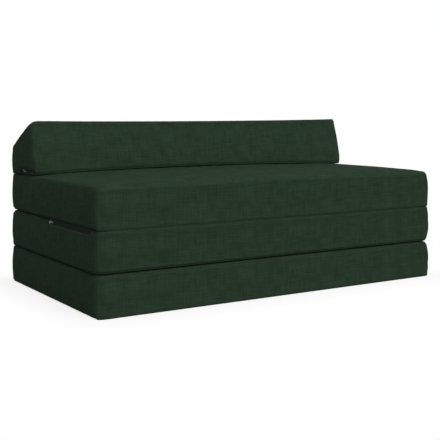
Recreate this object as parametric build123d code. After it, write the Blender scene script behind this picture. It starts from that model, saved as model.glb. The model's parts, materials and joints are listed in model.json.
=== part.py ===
from build123d import *
import os
from math import cos, radians, sin, sqrt

# Folding sofa bed in millimetres: three foam blocks and a back bolster, each in a zipped cover.
# Fabric strips join them in a Z, so the stack unfolds backwards into a bed.
# +X is the width, -Y the front, +Z up, and the origin lies under the middle of the base.

# Blocks
width = 1200.0
block_depth = 658.0
block_pitch = 115.0
rest_gap = 0.4
bulge = 4.0
block_edge_radius = 13.0

# Seat crown: its height along the depth, over the middle and over the two ends.
# Its curve stays within the allowance of straight lines between the stations.
seat_crown_rise = 19.5
end_crown_rise = 7.5
crown_station_shares = (-1.05, -0.6, 0.0, 0.37, 0.73, 1.05)
crown_middle_shares = (0.2, 0.82, 1.0, 0.92, 0.41, 0.02)
crown_end_shares = (0.0, 0.8, 1.0, 0.87, 0.4, 0.0)
crown_reach_share = 1.05
crown_curve_allowance = 1.0

# Bolster
bolster_base_depth = 214.0
bolster_height = 175.0
bolster_apex_setback = 45.0
bolster_back_height = 89.0
bolster_swell = 3.0
bolster_edge_radius = 12.0

# Covers and foam
cover_thickness = 1.6
foam_clearance = 0.4
seam_gap = 0.2

# Fold strips
fold_thickness = 1.2
fold_inner_radius = 0.1
fold_spare = 0.3
fold_end_margin = 12.0
axis_clearance = 0.2

# Zips, in degrees for the tilt on the rounded edge
zip_tilt = 30.0
block_zip_length = 285.0
bolster_zip_length = 74.0
bolster_zip_setback = 96.0
bolster_tape_spare = 17.0
tape_half_width = 6.4
tape_thickness = 0.7
tape_gap = 1.2
tape_end = 3.0
tape_clearance = 0.2
slot_half_width = 4.9
slot_margin = 2.0
chain_half_width = 2.6
chain_base = 0.7
chain_height = 1.5
tooth_pitch = 3.0
tooth_share = 0.5
stop_length = 2.0
stop_clearance = 0.5

# Sliders
slider_length = 12.0
slider_half_width = 4.4
slider_plate = 1.0
slider_clearance = 0.4
flange_thickness = 1.0
flange_lift = 0.3
neck_width = 0.8
neck_length = 3.0
neck_inset = 1.0
lug_thickness = 0.8
lug_length = 2.6
lug_inset = 1.2
pin_radius = 0.6
pin_clearance = 0.08
pin_head = 0.2

# Pulls
pull_length = 20.0
pull_width = 5.0
pull_thickness = 1.0
pull_eye_wall = 0.55
pull_eye_gap = 0.15
pull_side_gap = 0.15
pull_hole_radius = 1.2
pull_corner = 1.5

# Every cut runs past the solid by this much
overrun = 30.0

# Heights of the faces that rest on each other
lower_low = 0.0
lower_high = block_pitch - rest_gap / 2
middle_low = block_pitch + rest_gap / 2
middle_high = 2 * block_pitch - rest_gap / 2
upper_low = 2 * block_pitch + rest_gap / 2
seat_edge = 3 * block_pitch - rest_gap / 2
bolster_low = seat_edge + rest_gap
bolster_top = seat_edge + bolster_height

# Where the fold axes run, just outside the fullest points of the faces
half_depth = block_depth / 2
axis_y = half_depth + axis_clearance

# The zip's middle lies this far round the edge, and so does each seam
seam_drop = block_edge_radius * (1 - sin(radians(zip_tilt)))
bolster_seam_drop = bolster_edge_radius * (1 - sin(radians(zip_tilt)))


# How far a swollen side stands in from its fullest point, at height z
def drawn_in(z, low, high):
    half_height = (high - low) / 2
    arc_radius = (half_height**2 + bulge**2) / (2 * bulge)
    return arc_radius - sqrt(arc_radius**2 - (z - (low + high) / 2) ** 2)


# How far the centre of a rounded edge lies in from the fullest point of its swollen side.
# Edge is 1 where the side meets a flat top, and -1 where it meets a flat underside.
def edge_centre_inset(low, high, flat_z, edge, radius):
    half_height = (high - low) / 2
    arc_radius = (half_height**2 + bulge**2) / (2 * bulge)
    rise = flat_z - edge * radius - (low + high) / 2
    return arc_radius - sqrt((arc_radius - radius) ** 2 - rise**2)


# Upright outline with swollen sides; its arcs may run on above and below the face that they belong to
def swollen_outline(half, low, high, bottom, top):
    middle = (low + high) / 2
    foot = half - drawn_in(bottom, low, high)
    head = half - drawn_in(top, low, high)
    with BuildSketch() as outline:
        with BuildLine():
            Line((-foot, bottom), (foot, bottom))
            ThreePointArc((foot, bottom), (half, middle), (head, top))
            Line((head, top), (-head, top))
            ThreePointArc((-head, top), (-half, middle), (-foot, bottom))
        make_face()
    return outline.sketch


# Side outline of the bolster: leaning front, slanting top and upright back, all a little swollen
def bolster_outline():
    back = half_depth - bulge
    front = half_depth - bolster_base_depth
    bottom = bolster_low - overrun
    lean = bolster_apex_setback / bolster_height
    foot = (front - lean * overrun, bottom)
    apex = (front + bolster_apex_setback, bolster_top)
    shoulder = (back, seat_edge + bolster_back_height)
    heel = (back, bottom)
    with BuildSketch() as outline:
        with BuildLine():
            Line(heel, foot)
            SagittaArc(foot, apex, bolster_swell)
            SagittaArc(apex, shoulder, bolster_swell)
            SagittaArc(shoulder, heel, bulge)
        make_face()
    return outline.sketch


# Two outlines run through each other, the first along the depth and the second along the width
def crossed(end_outline, side_outline, inset):
    if inset:
        end_outline = offset(end_outline, amount=-inset, kind=Kind.INTERSECTION)
        side_outline = offset(side_outline, amount=-inset, kind=Kind.INTERSECTION)
    along_depth = extrude(Plane.XZ * end_outline, amount=block_depth, both=True)
    along_width = extrude(Plane.YZ * side_outline, amount=width, both=True)
    return along_depth & along_width


# Everything under the crowned seat, its top raised by lift
def under_crown(lift):
    half_width = crown_reach_share * width / 2
    bottom = middle_low
    sections = []
    for station, middle, end in zip(crown_station_shares, crown_middle_shares, crown_end_shares):
        end_z = seat_edge + end * end_crown_rise + lift
        middle_z = seat_edge + middle * seat_crown_rise + lift
        with BuildSketch(Plane.XZ.offset(-station * half_depth)) as section:
            with BuildLine():
                Line((-half_width, bottom), (half_width, bottom))
                Line((half_width, bottom), (half_width, end_z))
                ThreePointArc((half_width, end_z), (0, middle_z), (-half_width, end_z))
                Line((-half_width, end_z), (-half_width, bottom))
            make_face()
        sections.append(section.sketch.face())
    return loft(sections)


# The crown's height at the block's ends at depth y, taken straight between the stations
def end_crown_at(y):
    share = y / half_depth
    rows = list(zip(crown_station_shares, crown_middle_shares, crown_end_shares))
    for (near, *start), (far, *finish) in zip(rows, rows[1:]):
        if near <= share <= far:
            along = (share - near) / (far - near)
            middle, end = (a + (b - a) * along for a, b in zip(start, finish))
            middle_z, end_z = middle * seat_crown_rise, end * end_crown_rise
            return end_z + (middle_z - end_z) * (1 - 1 / crown_reach_share**2)
    return 0.0


# A flat block between two heights
def block_form(low, high, inset):
    ends = swollen_outline(width / 2, low, high, low, high)
    sides = swollen_outline(half_depth, low, high, low, high)
    body = crossed(ends, sides, inset)
    return fillet(body.edges(), block_edge_radius - inset)


# The top block, whose seat is crowned
def upper_form(inset):
    top = seat_edge + seat_crown_rise + overrun
    ends = swollen_outline(width / 2, upper_low, seat_edge, upper_low, top)
    sides = swollen_outline(half_depth, upper_low, seat_edge, upper_low, top)
    body = crossed(ends, sides, inset) & under_crown(-inset)
    return fillet(body.edges(), block_edge_radius - inset)


# The bolster, whose underside follows the crowned seat
def bolster_form(inset):
    bottom = bolster_low - overrun
    top = bolster_top + overrun
    ends = swollen_outline(width / 2, bolster_low, bolster_top, bottom, top)
    body = crossed(ends, bolster_outline(), inset) - under_crown(rest_gap + inset)
    return fillet(body.edges(), bolster_edge_radius - inset)


# A slab that reaches past the sofa on every side, between two heights
def slab(low, high):
    size = (width + 2 * overrun, block_depth + 2 * overrun, high - low)
    return Pos(0, 0, (low + high) / 2) * Box(*size)


# The part of the bolster above the seam that runs round its slanting top
def bolster_cap_region():
    front = half_depth - bolster_base_depth + bolster_apex_setback
    back = half_depth - bulge
    shoulder = seat_edge + bolster_back_height
    slope = (bolster_top - shoulder) / (back - front)
    drop = bolster_seam_drop * sqrt(1 + slope**2)
    near, far = front - bolster_apex_setback, back + overrun
    near_z = bolster_top - drop + slope * bolster_apex_setback
    far_z = shoulder - drop - slope * overrun
    top = near_z + overrun
    corners = [(near, near_z), (far, far_z), (far, top), (near, top)]
    outline = Plane.YZ * make_face(Polyline(*corners, close=True))
    return extrude(outline, amount=width, both=True)


# A zip's working plane: X along the chain towards the front, Z out of the rounded edge.
# Wander is how far the edge rises or falls beside the straight zip, which lies that much deeper.
# Spare is the bare tape past the far stop, which a deep zip's pull needs.
class ZipSeat:
    def __init__(
        self, side, edge, flat_z, low, high, radius, start_y, length, spare=slot_margin, wander=0.0
    ):
        tilt = radians(zip_tilt)
        centre_z = flat_z - edge * radius
        centre_x = width / 2 - edge_centre_inset(low, high, flat_z, edge, radius)
        origin = (
            side * (centre_x + radius * cos(tilt)),
            start_y,
            centre_z + edge * radius * sin(tilt),
        )
        self.plane = Plane(origin=origin, x_dir=(0, -1, 0), z_dir=(side * cos(tilt), 0, edge * sin(tilt)))
        self.length = length
        self.open_end = length + stop_length + spare
        inner = radius - cover_thickness
        reach = tape_half_width + wander * cos(tilt)
        self.face = sqrt(inner**2 - reach**2) - radius - tape_clearance - wander * sin(tilt)

    # A box between two corners of the working plane's frame, its height counted from the tape's face
    def block(self, start, end, left, right, bottom, top):
        size = (end - start, right - left, top - bottom)
        middle = ((start + end) / 2, (left + right) / 2, (bottom + top) / 2 + self.face)
        return self.plane.location * Pos(*middle) * Box(*size)


# Sizes along the zip, from the slider's rest place
slider_start = -slider_length / 2
slider_end = slider_length / 2
top_stop_end = slider_start - stop_clearance
top_stop_start = top_stop_end - stop_length
slot_start = top_stop_start - slot_margin
tape_start = slot_start - tape_end
neck_start = slider_start + neck_inset
chain_start = neck_start + neck_length + stop_clearance
top_plate_low = chain_height + slider_clearance
top_plate_high = top_plate_low + slider_plate
bottom_plate_high = -tape_thickness - slider_clearance
bottom_plate_low = bottom_plate_high - slider_plate
pin_u = slider_end - lug_inset - lug_length / 2
eye_radius = pin_radius + pin_clearance + pull_eye_wall
pin_z = top_plate_high + pull_eye_gap + eye_radius
eye_half_width = pull_width / 2 - lug_thickness - pull_side_gap


# The opening that the zip leaves in the cover
def zip_slot(seat):
    return seat.block(slot_start, seat.open_end, -slot_half_width, slot_half_width, 0, overrun)


# The hollow that the zip presses into the foam
def zip_pocket(seat):
    margin = foam_clearance + tape_clearance
    half = tape_half_width + margin
    start, end = tape_start - margin, seat.open_end + tape_end + margin
    return seat.block(start, end, -half, half, bottom_plate_low - margin, overrun)


# Two woven strips with a gap between them for the slider's neck
def zip_tape(seat):
    end = seat.open_end + tape_end
    inner, outer = tape_gap / 2, tape_half_width
    strips = [(-outer, -inner), (inner, outer)]
    return [seat.block(tape_start, end, left, right, -tape_thickness, 0) for left, right in strips]


# The closed chain: a toothed bar astride the two strips
def zip_chain(seat):
    count = int((seat.length - chain_start) // tooth_pitch)
    points = [(chain_start, 0), (chain_start, chain_base)]
    for tooth in range(count):
        start = chain_start + tooth * tooth_pitch
        end = start + tooth_share * tooth_pitch
        points += [(start, chain_height), (end, chain_height), (end, chain_base)]
        points += [(start + tooth_pitch, chain_base)]
    points += [(seat.length, chain_base), (seat.length, 0)]
    cleaned = [point for n, point in enumerate(points) if n == 0 or point != points[n - 1]]
    outline = Plane.XZ * make_face(Polyline(*cleaned, close=True))
    bar = extrude(outline, amount=chain_half_width, both=True)
    return [seat.plane.location * Pos(0, 0, seat.face) * bar]


# Two small stops at the closed end and one across both strips at the other
def zip_stops(seat):
    far = seat.length + stop_length
    inner, outer = tape_gap / 2, chain_half_width
    return [
        seat.block(top_stop_start, top_stop_end, -outer, -inner, 0, chain_height),
        seat.block(top_stop_start, top_stop_end, inner, outer, 0, chain_height),
        seat.block(seat.length, far, -outer, outer, 0, chain_height),
    ]


# Slider: two plates on one neck, side flanges, and a pin between two lugs for the pull
def zip_slider(seat):
    half = slider_half_width
    ends = (slider_start, slider_end)
    neck = (neck_start, neck_start + neck_length, -neck_width / 2, neck_width / 2)
    pieces = [
        seat.block(*ends, -half, half, bottom_plate_low, bottom_plate_high),
        seat.block(*ends, -half, half, top_plate_low, top_plate_high),
        seat.block(*ends, -half, -half + flange_thickness, flange_lift, top_plate_low),
        seat.block(*ends, half - flange_thickness, half, flange_lift, top_plate_low),
        seat.block(*neck, bottom_plate_high, top_plate_low),
    ]
    lug_top = pin_z + pin_radius + pin_head
    lug_outer = pull_width / 2
    lug_inner = lug_outer - lug_thickness
    lug_start, lug_end = pin_u - lug_length / 2, pin_u + lug_length / 2
    pieces.append(seat.block(lug_start, lug_end, lug_inner, lug_outer, top_plate_high, lug_top))
    pieces.append(seat.block(lug_start, lug_end, -lug_outer, -lug_inner, top_plate_high, lug_top))
    pin = Rotation(90, 0, 0) * Cylinder(pin_radius, 2 * lug_outer)
    pieces.append(seat.plane.location * Pos(pin_u, 0, pin_z + seat.face) * pin)
    return [pieces[0].fuse(*pieces[1:])]


# Pull: an eye round the slider's pin, a narrow neck and a flat tab with a hole
def zip_pull(seat):
    neck_end = pin_u + lug_length
    tab_end = pin_u + pull_length
    tab = Pos((neck_end + tab_end) / 2, 0, pin_z) * Box(tab_end - neck_end, pull_width, pull_thickness)
    tab = fillet(tab.edges().filter_by(Axis.Z), pull_corner)
    neck_length = neck_end + pull_corner - pin_u
    neck = Pos(pin_u + neck_length / 2, 0, pin_z) * Box(neck_length, 2 * eye_half_width, pull_thickness)
    eye = Pos(pin_u, 0, pin_z) * Rotation(90, 0, 0) * Cylinder(eye_radius, 2 * eye_half_width)
    bore = Pos(pin_u, 0, pin_z) * Rotation(90, 0, 0) * Cylinder(pin_radius + pin_clearance, pull_width)
    hole = Pos(tab_end - 2 * pull_hole_radius, 0, pin_z) * Cylinder(pull_hole_radius, 2 * pull_thickness)
    pull = (tab + neck + eye) - bore - hole
    return [seat.plane.location * Pos(0, 0, seat.face) * pull]


# A strip folded round an axis along X: the fold stands outside, and its two legs lie between the
# rounded edges, as far in as the edges leave room for the cloth and the spare
def fold_strip(facing, z, spare):
    outer = fold_inner_radius + fold_thickness
    inner = fold_inner_radius
    inset = edge_centre_inset(lower_low, lower_high, lower_high, 1, block_edge_radius)
    flat = block_edge_radius - (outer - rest_gap / 2 + spare)
    leg = axis_clearance + inset - sqrt(block_edge_radius**2 - flat**2)
    with BuildSketch() as section:
        with BuildLine():
            Line((-leg, -outer), (0, -outer))
            ThreePointArc((0, -outer), (outer, 0), (0, outer))
            Line((0, outer), (-leg, outer))
            Line((-leg, outer), (-leg, inner))
            Line((-leg, inner), (0, inner))
            ThreePointArc((0, inner), (inner, 0), (0, -inner))
            Line((0, -inner), (-leg, -inner))
            Line((-leg, -inner), (-leg, -outer))
        make_face()
    plane = Plane(origin=(0, facing * axis_y, z), x_dir=(0, facing, 0), z_dir=(facing, 0, 0))
    length = width - 2 * (block_edge_radius + fold_end_margin)
    return extrude(plane * section.sketch, amount=length / 2, both=True)


# Where each zip sits: the end of the sofa, the edge of the block, and where it starts
bolster_zip_y = half_depth - bolster_zip_setback
tape_back = bolster_zip_y - tape_start
tape_front = bolster_zip_y - bolster_zip_length - stop_length - bolster_tape_spare - tape_end
bolster_zip_z = bolster_low + end_crown_at((tape_back + tape_front) / 2)
bolster_zip_wander = (end_crown_at(tape_front) - end_crown_at(tape_back)) / 2 + crown_curve_allowance
lower_seat = ZipSeat(1, -1, lower_low, lower_low, lower_high, block_edge_radius, 0, block_zip_length)
middle_seat = ZipSeat(-1, 1, middle_high, middle_low, middle_high, block_edge_radius, 0, block_zip_length)
upper_seat = ZipSeat(1, -1, upper_low, upper_low, seat_edge, block_edge_radius, 0, block_zip_length)
bolster_seat = ZipSeat(
    -1, -1, bolster_zip_z, bolster_low, bolster_top, bolster_edge_radius,
    bolster_zip_y, bolster_zip_length, bolster_tape_spare, bolster_zip_wander,
)
seats = {"lower": lower_seat, "middle": middle_seat, "upper": upper_seat, "bolster": bolster_seat}


# A flat block's cover between its two seams, and the foam inside it
def flat_block(name, low, high, seat):
    cover = block_form(low, high, 0) - block_form(low, high, cover_thickness) - zip_slot(seat)
    base_seam, top_seam = low + seam_drop, high - seam_drop
    return {
        name + "_foam": block_form(low, high, cover_thickness + foam_clearance) - zip_pocket(seat),
        name + "_base_panel": cover & slab(low - overrun, base_seam - seam_gap / 2),
        name + "_side_band": cover & slab(base_seam + seam_gap / 2, top_seam - seam_gap / 2),
        name + "_top_panel": cover & slab(top_seam + seam_gap / 2, high + overrun),
    }


def upper_block(seat):
    cover = upper_form(0) - upper_form(cover_thickness) - zip_slot(seat)
    base_seam = upper_low + seam_drop
    top = seat_edge + seat_crown_rise + overrun
    band = cover & slab(base_seam + seam_gap / 2, top)
    return {
        "upper_foam": upper_form(cover_thickness + foam_clearance) - zip_pocket(seat),
        "upper_base_panel": cover & slab(upper_low - overrun, base_seam - seam_gap / 2),
        "upper_side_band": band & under_crown(-seam_drop - seam_gap / 2),
        "upper_top_panel": cover - under_crown(-seam_drop + seam_gap / 2),
    }


def bolster(seat):
    cover = bolster_form(0) - bolster_form(cover_thickness) - zip_slot(seat)
    seam = rest_gap + bolster_seam_drop
    cap = bolster_cap_region()
    above_seam = cover - under_crown(seam + seam_gap / 2)
    return {
        "bolster_foam": bolster_form(cover_thickness + foam_clearance) - zip_pocket(seat),
        "bolster_base_panel": cover & under_crown(seam - seam_gap / 2),
        "bolster_side_band": above_seam - cap,
        "bolster_top_panel": above_seam & (Pos(0, 0, seam_gap) * cap),
    }


def zip_nodes(name, seat):
    return {
        name + "_zip_tape": zip_tape(seat),
        name + "_zip_chain": zip_chain(seat),
        name + "_zip_stops": zip_stops(seat),
        name + "_zip_slider": zip_slider(seat),
        name + "_zip_pull": zip_pull(seat),
    }


nodes = {}
nodes.update(flat_block("lower", lower_low, lower_high, lower_seat))
nodes.update(flat_block("middle", middle_low, middle_high, middle_seat))
nodes.update(upper_block(upper_seat))
nodes.update(bolster(bolster_seat))
for name, seat in seats.items():
    nodes.update(zip_nodes(name, seat))
nodes["middle_fold_strip"] = fold_strip(1, block_pitch, fold_spare)
nodes["upper_fold_strip"] = fold_strip(-1, 2 * block_pitch, fold_spare)
nodes["bolster_fold_strip"] = fold_strip(1, seat_edge + rest_gap / 2, fold_spare + crown_curve_allowance)

os.makedirs("parts", exist_ok=True)
for name, shape in nodes.items():
    solids = shape if isinstance(shape, list) else shape.solids()
    solids = [solid for piece in solids for solid in piece.solids()]
    export_step(Compound(children=solids) if len(solids) > 1 else solids[0], f"parts/{name}.step")

# Axes, pins and travels that the joints use
print("middle fold axis y, z:", axis_y, block_pitch)
print("upper fold axis y, z:", -axis_y, 2 * block_pitch)
print("bolster fold axis y, z:", axis_y, seat_edge + rest_gap / 2)
for name, seat in seats.items():
    pin = seat.plane.from_local_coords((pin_u, 0, pin_z + seat.face))
    travel = seat.length - slider_end - stop_clearance
    print(name, "pull pin:", tuple(round(v, 4) for v in pin), "travel:", travel)
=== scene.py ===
import json
import math
from functools import partial

import bmesh
import bpy
import numpy as np
from mathutils import Matrix, Vector, noise
from mathutils.bvhtree import BVHTree


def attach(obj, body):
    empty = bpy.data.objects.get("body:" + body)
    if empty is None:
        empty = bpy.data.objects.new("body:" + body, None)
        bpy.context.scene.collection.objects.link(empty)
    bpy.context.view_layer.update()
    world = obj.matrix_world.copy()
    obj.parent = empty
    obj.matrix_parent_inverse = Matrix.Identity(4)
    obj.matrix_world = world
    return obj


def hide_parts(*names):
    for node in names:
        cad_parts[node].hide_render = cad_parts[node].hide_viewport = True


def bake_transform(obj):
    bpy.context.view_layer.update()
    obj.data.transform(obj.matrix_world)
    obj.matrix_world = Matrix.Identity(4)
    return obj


# Folding sofa bed: three padded blocks and a wedge bolster in zipped linen-look covers.
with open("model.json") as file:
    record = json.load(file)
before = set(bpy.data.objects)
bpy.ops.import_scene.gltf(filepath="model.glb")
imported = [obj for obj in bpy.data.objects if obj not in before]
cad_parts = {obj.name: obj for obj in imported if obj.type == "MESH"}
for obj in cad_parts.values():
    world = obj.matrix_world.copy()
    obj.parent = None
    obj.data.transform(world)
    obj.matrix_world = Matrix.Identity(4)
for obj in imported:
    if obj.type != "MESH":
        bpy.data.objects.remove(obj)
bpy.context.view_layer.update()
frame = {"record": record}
scene = bpy.context.scene

# What the covers are cut to, in millimetres, the same as the CAD
sofa = {
    "halfWidth": 600, "halfDepth": 329, "pitch": 115, "restGap": 0.4, "swell": 4,
    "edgeRadius": 13,
    "seamAngle": 30,  # where the seam runs round the rounded edge, in degrees
}
seatCrown = {
    "middleRise": 15.5, "rightRise": 5.7, "reach": 1.05,
    "leftRise": 1.5,  # the photograph's left end is flatter than its right one
    "stations": (-1.05, -0.6, 0.0, 0.37, 0.73, 1.05),  # shares of the half depth, front to back
    "middle": (0.2, 0.82, 1.0, 0.92, 0.41, 0.02),
    "ends": (0.0, 0.8, 1.0, 0.87, 0.4, 0.0),
}


def mm(length):  # a length or a tuple of them, from millimetres to metres
    return np.array(length) / 1000 if isinstance(length, tuple) else length / 1000


def smooth(low, high, value):
    share = np.clip((value - low) / (high - low), 0, 1)
    return share * share * (3 - 2 * share)


def linear(hexColour):  # from sRGB
    parts = [int(hexColour[n:n + 2], 16) / 255 for n in (1, 3, 5)]
    return [p / 12.92 if p <= 0.04045 else ((p + 0.055) / 1.055) ** 2.4 for p in parts]


def toMesh(bm, name):
    mesh = bpy.data.meshes.new(name)
    bm.to_mesh(mesh)
    bm.free()
    return mesh


def addObject(name, data):
    made = bpy.data.objects.new(name, data)
    scene.collection.objects.link(made)
    return made


def shadeSmooth(mesh):
    mesh.polygons.foreach_set("use_smooth", [True] * len(mesh.polygons))


def setAll(thing, **settings):
    for name, value in settings.items():
        setattr(thing, name, value)


# Node materials

def feed(node, inputs):  # sets a node's inputs, or links them
    for socket, value in inputs.items():
        if isinstance(value, bpy.types.NodeSocket):
            node.id_data.links.new(value, node.inputs[socket])
        else:
            node.inputs[socket].default_value = value


def addNode(tree, kind, inputs=None, **settings):
    node = tree.nodes.new("ShaderNode" + kind)
    setAll(node, **settings)
    feed(node, inputs or {})
    return node


def addMath(add, operation, *terms):
    return add("Math", dict(enumerate(terms)), operation=operation).outputs[0]


def addRamp(add, share, stops):  # stops are places from 0 to 1, with their colours
    ramp = add("ValToRGB", {0: share})
    elements = ramp.color_ramp.elements
    elements.remove(elements[1])
    for count, (place, colour) in enumerate(stops):
        element = elements.new(place) if count else elements[0]
        element.position = place
        element.color = (*linear(colour), 1)
    return ramp.outputs["Color"]


def startTree(owner):  # gives the function that adds a node to the tree
    owner.use_nodes = True
    owner.node_tree.nodes.clear()
    return partial(addNode, owner.node_tree)


def startMaterial(name, colour):
    material = bpy.data.materials.new(name)
    material.diffuse_color = (*linear(colour), 1)
    add = startTree(material)
    shader = add("BsdfPrincipled", {"Base Color": (*linear(colour), 1)})
    add("OutputMaterial", {"Surface": shader.outputs[0]})
    return material, add, shader


# Polyester yarn spun to look like linen, woven plain and dyed in the piece: matt, a little
# hairy, with thick slubs along both threads. The thread is drawn 1.6 mm apart instead of 0.8.
coverCloth = {
    "yarn": "#273629", "shade": "#1c281e", "light": "#304233", "threadPitch": 1.6,
    "slubWidth": 4.0, "slubLength": 55.0, "slubTone": 0.95, "mottleSize": 45.0,
    "threadHeight": 0.35, "roughness": 0.93,
}
# What every woven cloth shares, with lengths in millimetres
weave = {
    "strayLength": 25,  # the threads stray this far over such a length
    "stray": 0.9,
    "dip": 0.45,  # how far a thread sinks between two crossings, as a share
    "seeds": ((3.1, 2.17, 0), (7.7, 5.39, 0), (1.3, 0.91, 0)),
    # How strongly the thread height is painted into the colour: painted shade in the dips between
    # crossings, painted light on the raised threads
    "spotRoughness": 0.55, "mottleTone": 0.35, "threadShadeTone": 0.45, "threadMean": 0.62,
    "stops": (0.1, 0.5, 0.9), "slubHeight": 0.8, "bump": 0.7, "specular": 0.02,
}


def weaveMaterial(name, cloth):
    material, add, shader = startMaterial(name, cloth["yarn"])
    place = add("UVMap", uv_map="cloth").outputs["UV"]
    value = partial(addMath, add)

    def spots(width, length, detail, seed):  # noise stretched along the cloth
        shift = add("Mapping", {
            "Vector": place, "Location": weave["seeds"][seed],
            "Scale": (1 / mm(width), 1 / mm(length), 1),
        })
        return add("TexNoise", {
            "Vector": shift.outputs[0], "Scale": 1, "Detail": detail,
            "Roughness": weave["spotRoughness"],
        }, noise_dimensions="2D").outputs["Fac"]

    stray = add("TexNoise", {
        "Vector": place, "Scale": 1 / mm(weave["strayLength"]), "Detail": 1,
    })
    nudge = add("VectorMath", {
        0: stray.outputs["Color"], 1: [mm(weave["stray"])] * 3, 2: place,
    }, operation="MULTIPLY_ADD")
    threads = add("VectorMath", {
        0: nudge.outputs[0], "Scale": math.pi / mm(cloth["threadPitch"]),
    }, operation="SCALE")
    split = add("SeparateXYZ", {0: threads.outputs[0]})
    warpWave, weftWave = value("SINE", split.outputs["X"]), value("SINE", split.outputs["Y"])
    warp, weft = value("ABSOLUTE", warpWave), value("ABSOLUTE", weftWave)
    warpOver = value("GREATER_THAN", value("MULTIPLY", warpWave, weftWave), 0.0)
    dip = weave["dip"]
    warpHeight = value("MULTIPLY", warp, value("MULTIPLY_ADD", weft, dip, 1 - dip))
    weftHeight = value("MULTIPLY", weft, value("MULTIPLY_ADD", warp, dip, 1 - dip))
    height = add("Mix", {0: warpOver, 2: weftHeight, 3: warpHeight}).outputs[0]

    warpSlub = spots(cloth["slubWidth"], cloth["slubLength"], 2, 0)
    weftSlub = spots(cloth["slubLength"], cloth["slubWidth"], 2, 1)
    mottle = spots(cloth["mottleSize"], cloth["mottleSize"], 3, 2)
    slub = add("Mix", {0: 0.5, 2: warpSlub, 3: weftSlub}).outputs[0]
    toneAndShade = 0.5
    # The slubs and the mottle are the yarn's own tone; the thread height adds painted shade in
    # the dips between crossings and painted light on the raised threads
    for part, mean, strength in (
        (slub, 0.5, cloth["slubTone"]), (mottle, 0.5, weave["mottleTone"]),
        (height, weave["threadMean"], weave["threadShadeTone"]),
    ):
        toneAndShade = value("MULTIPLY_ADD", value("SUBTRACT", part, mean), strength, toneAndShade)
    colours = (cloth["shade"], cloth["yarn"], cloth["light"])
    bump = add("Bump", {
        "Height": value("MULTIPLY_ADD", slub, weave["slubHeight"], height),
        "Distance": mm(cloth["threadHeight"]), "Strength": weave["bump"],
    })
    feed(shader, {
        "Base Color": addRamp(add, toneAndShade, zip(weave["stops"], colours)),
        "Normal": bump.outputs[0], "Roughness": cloth["roughness"],
        "Specular IOR Level": weave["specular"],
    })
    return material


# Everything that isn't cloth: its colour drifts a little and its polish is uneven
unevenness = {"stops": (0.35, 0.65), "dullest": 1.25, "brightest": 0.75, "bump": 0.5}


def solidMaterial(name, finish):
    material, add, shader = startMaterial(name, finish["colour"])
    place = add("TexCoord").outputs["Object"]

    def drift(size, detail):
        return add("TexNoise", {
            "Vector": place, "Scale": 1 / mm(size), "Detail": detail,
        }).outputs["Fac"]

    wear = drift(finish["grain"], 4)
    polish = add("MapRange", {
        0: wear, 3: finish["roughness"] * unevenness["brightest"],
        4: finish["roughness"] * unevenness["dullest"],
    })
    bump = add("Bump", {
        "Height": drift(finish["grit"], 2), "Distance": mm(finish["relief"]),
        "Strength": unevenness["bump"],
    })
    colour = addRamp(add, wear, zip(unevenness["stops"], (finish["worn"], finish["colour"])))
    feed(shader, {
        "Base Color": colour, "Roughness": polish.outputs[0], "Normal": bump.outputs[0],
        "Metallic": finish["metallic"],
    })
    if not finish["metallic"]:
        feed(shader, {"IOR": finish["ior"]})
    return material


# Polyester tape, woven close and flat on a narrow loom, dyed a little darker than the cover
tapeCloth = {
    "yarn": "#1f2b21", "shade": "#161f18", "light": "#28372b", "threadPitch": 0.8,
    "slubWidth": 2.0, "slubLength": 20.0, "slubTone": 0.6, "mottleSize": 20.0,
    "threadHeight": 0.2, "roughness": 0.85,
}
# Nylon monofilament, drawn, coiled hot and dyed to a dark green: its shine is dull
coilNylon = {
    "colour": "#1b241d", "worn": "#151c17", "grain": 6, "roughness": 0.75, "grit": 0.4,
    "relief": 0.02, "metallic": 0, "ior": 1.3,
}
# Zinc, die cast, barrelled and black nickel plated: dark grey, softened by fine scratches
sliderNickel = {
    "colour": "#787d77", "worn": "#5d615c", "grain": 2.5, "roughness": 0.34, "grit": 0.25,
    "relief": 0.02, "metallic": 1,
}
# Brass, stamped and lacquered dark, for the pulls and stops
stopLacquer = {
    "colour": "#1b201c", "worn": "#2a2b25", "grain": 1.5, "roughness": 0.45, "grit": 0.3,
    "relief": 0.02, "metallic": 0, "ior": 1.5,
}
# Bonded polyester sewing thread, twisted tight: a soft gloss
sewingThread = {
    "colour": "#26362a", "worn": "#1d2a20", "grain": 5, "roughness": 0.6, "grit": 0.3,
    "relief": 0.05, "metallic": 0, "ior": 1.5,
}
coverMaterial = weaveMaterial("linen_look_polyester_plain_weave", coverCloth)
tapeMaterial = weaveMaterial("polyester_narrow_woven_tape", tapeCloth)
coilMaterial = solidMaterial("nylon_monofilament_coil", coilNylon)
nickelMaterial = solidMaterial("black_nickel_plated_die_cast_zinc", sliderNickel)
stopMaterial = solidMaterial("dark_lacquered_stamped_brass", stopLacquer)
threadMaterial = solidMaterial("bonded_polyester_thread", sewingThread)


# Covers

def eased(share, rises):  # smooth curve through the crown's stations
    at = np.array(seatCrown["stations"])
    rises = np.array(rises)
    slopes = np.gradient(rises, at)
    n = np.clip(np.searchsorted(at, share) - 1, 0, len(at) - 2)
    gap = at[n + 1] - at[n]
    t = np.clip((share - at[n]) / gap, 0, 1)
    return (
        rises[n] * (2 * t**3 - 3 * t**2 + 1)
        + slopes[n] * gap * (t**3 - 2 * t**2 + t)
        + rises[n + 1] * (3 * t**2 - 2 * t**3)
        + slopes[n + 1] * gap * (t**3 - t**2)
    )


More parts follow.
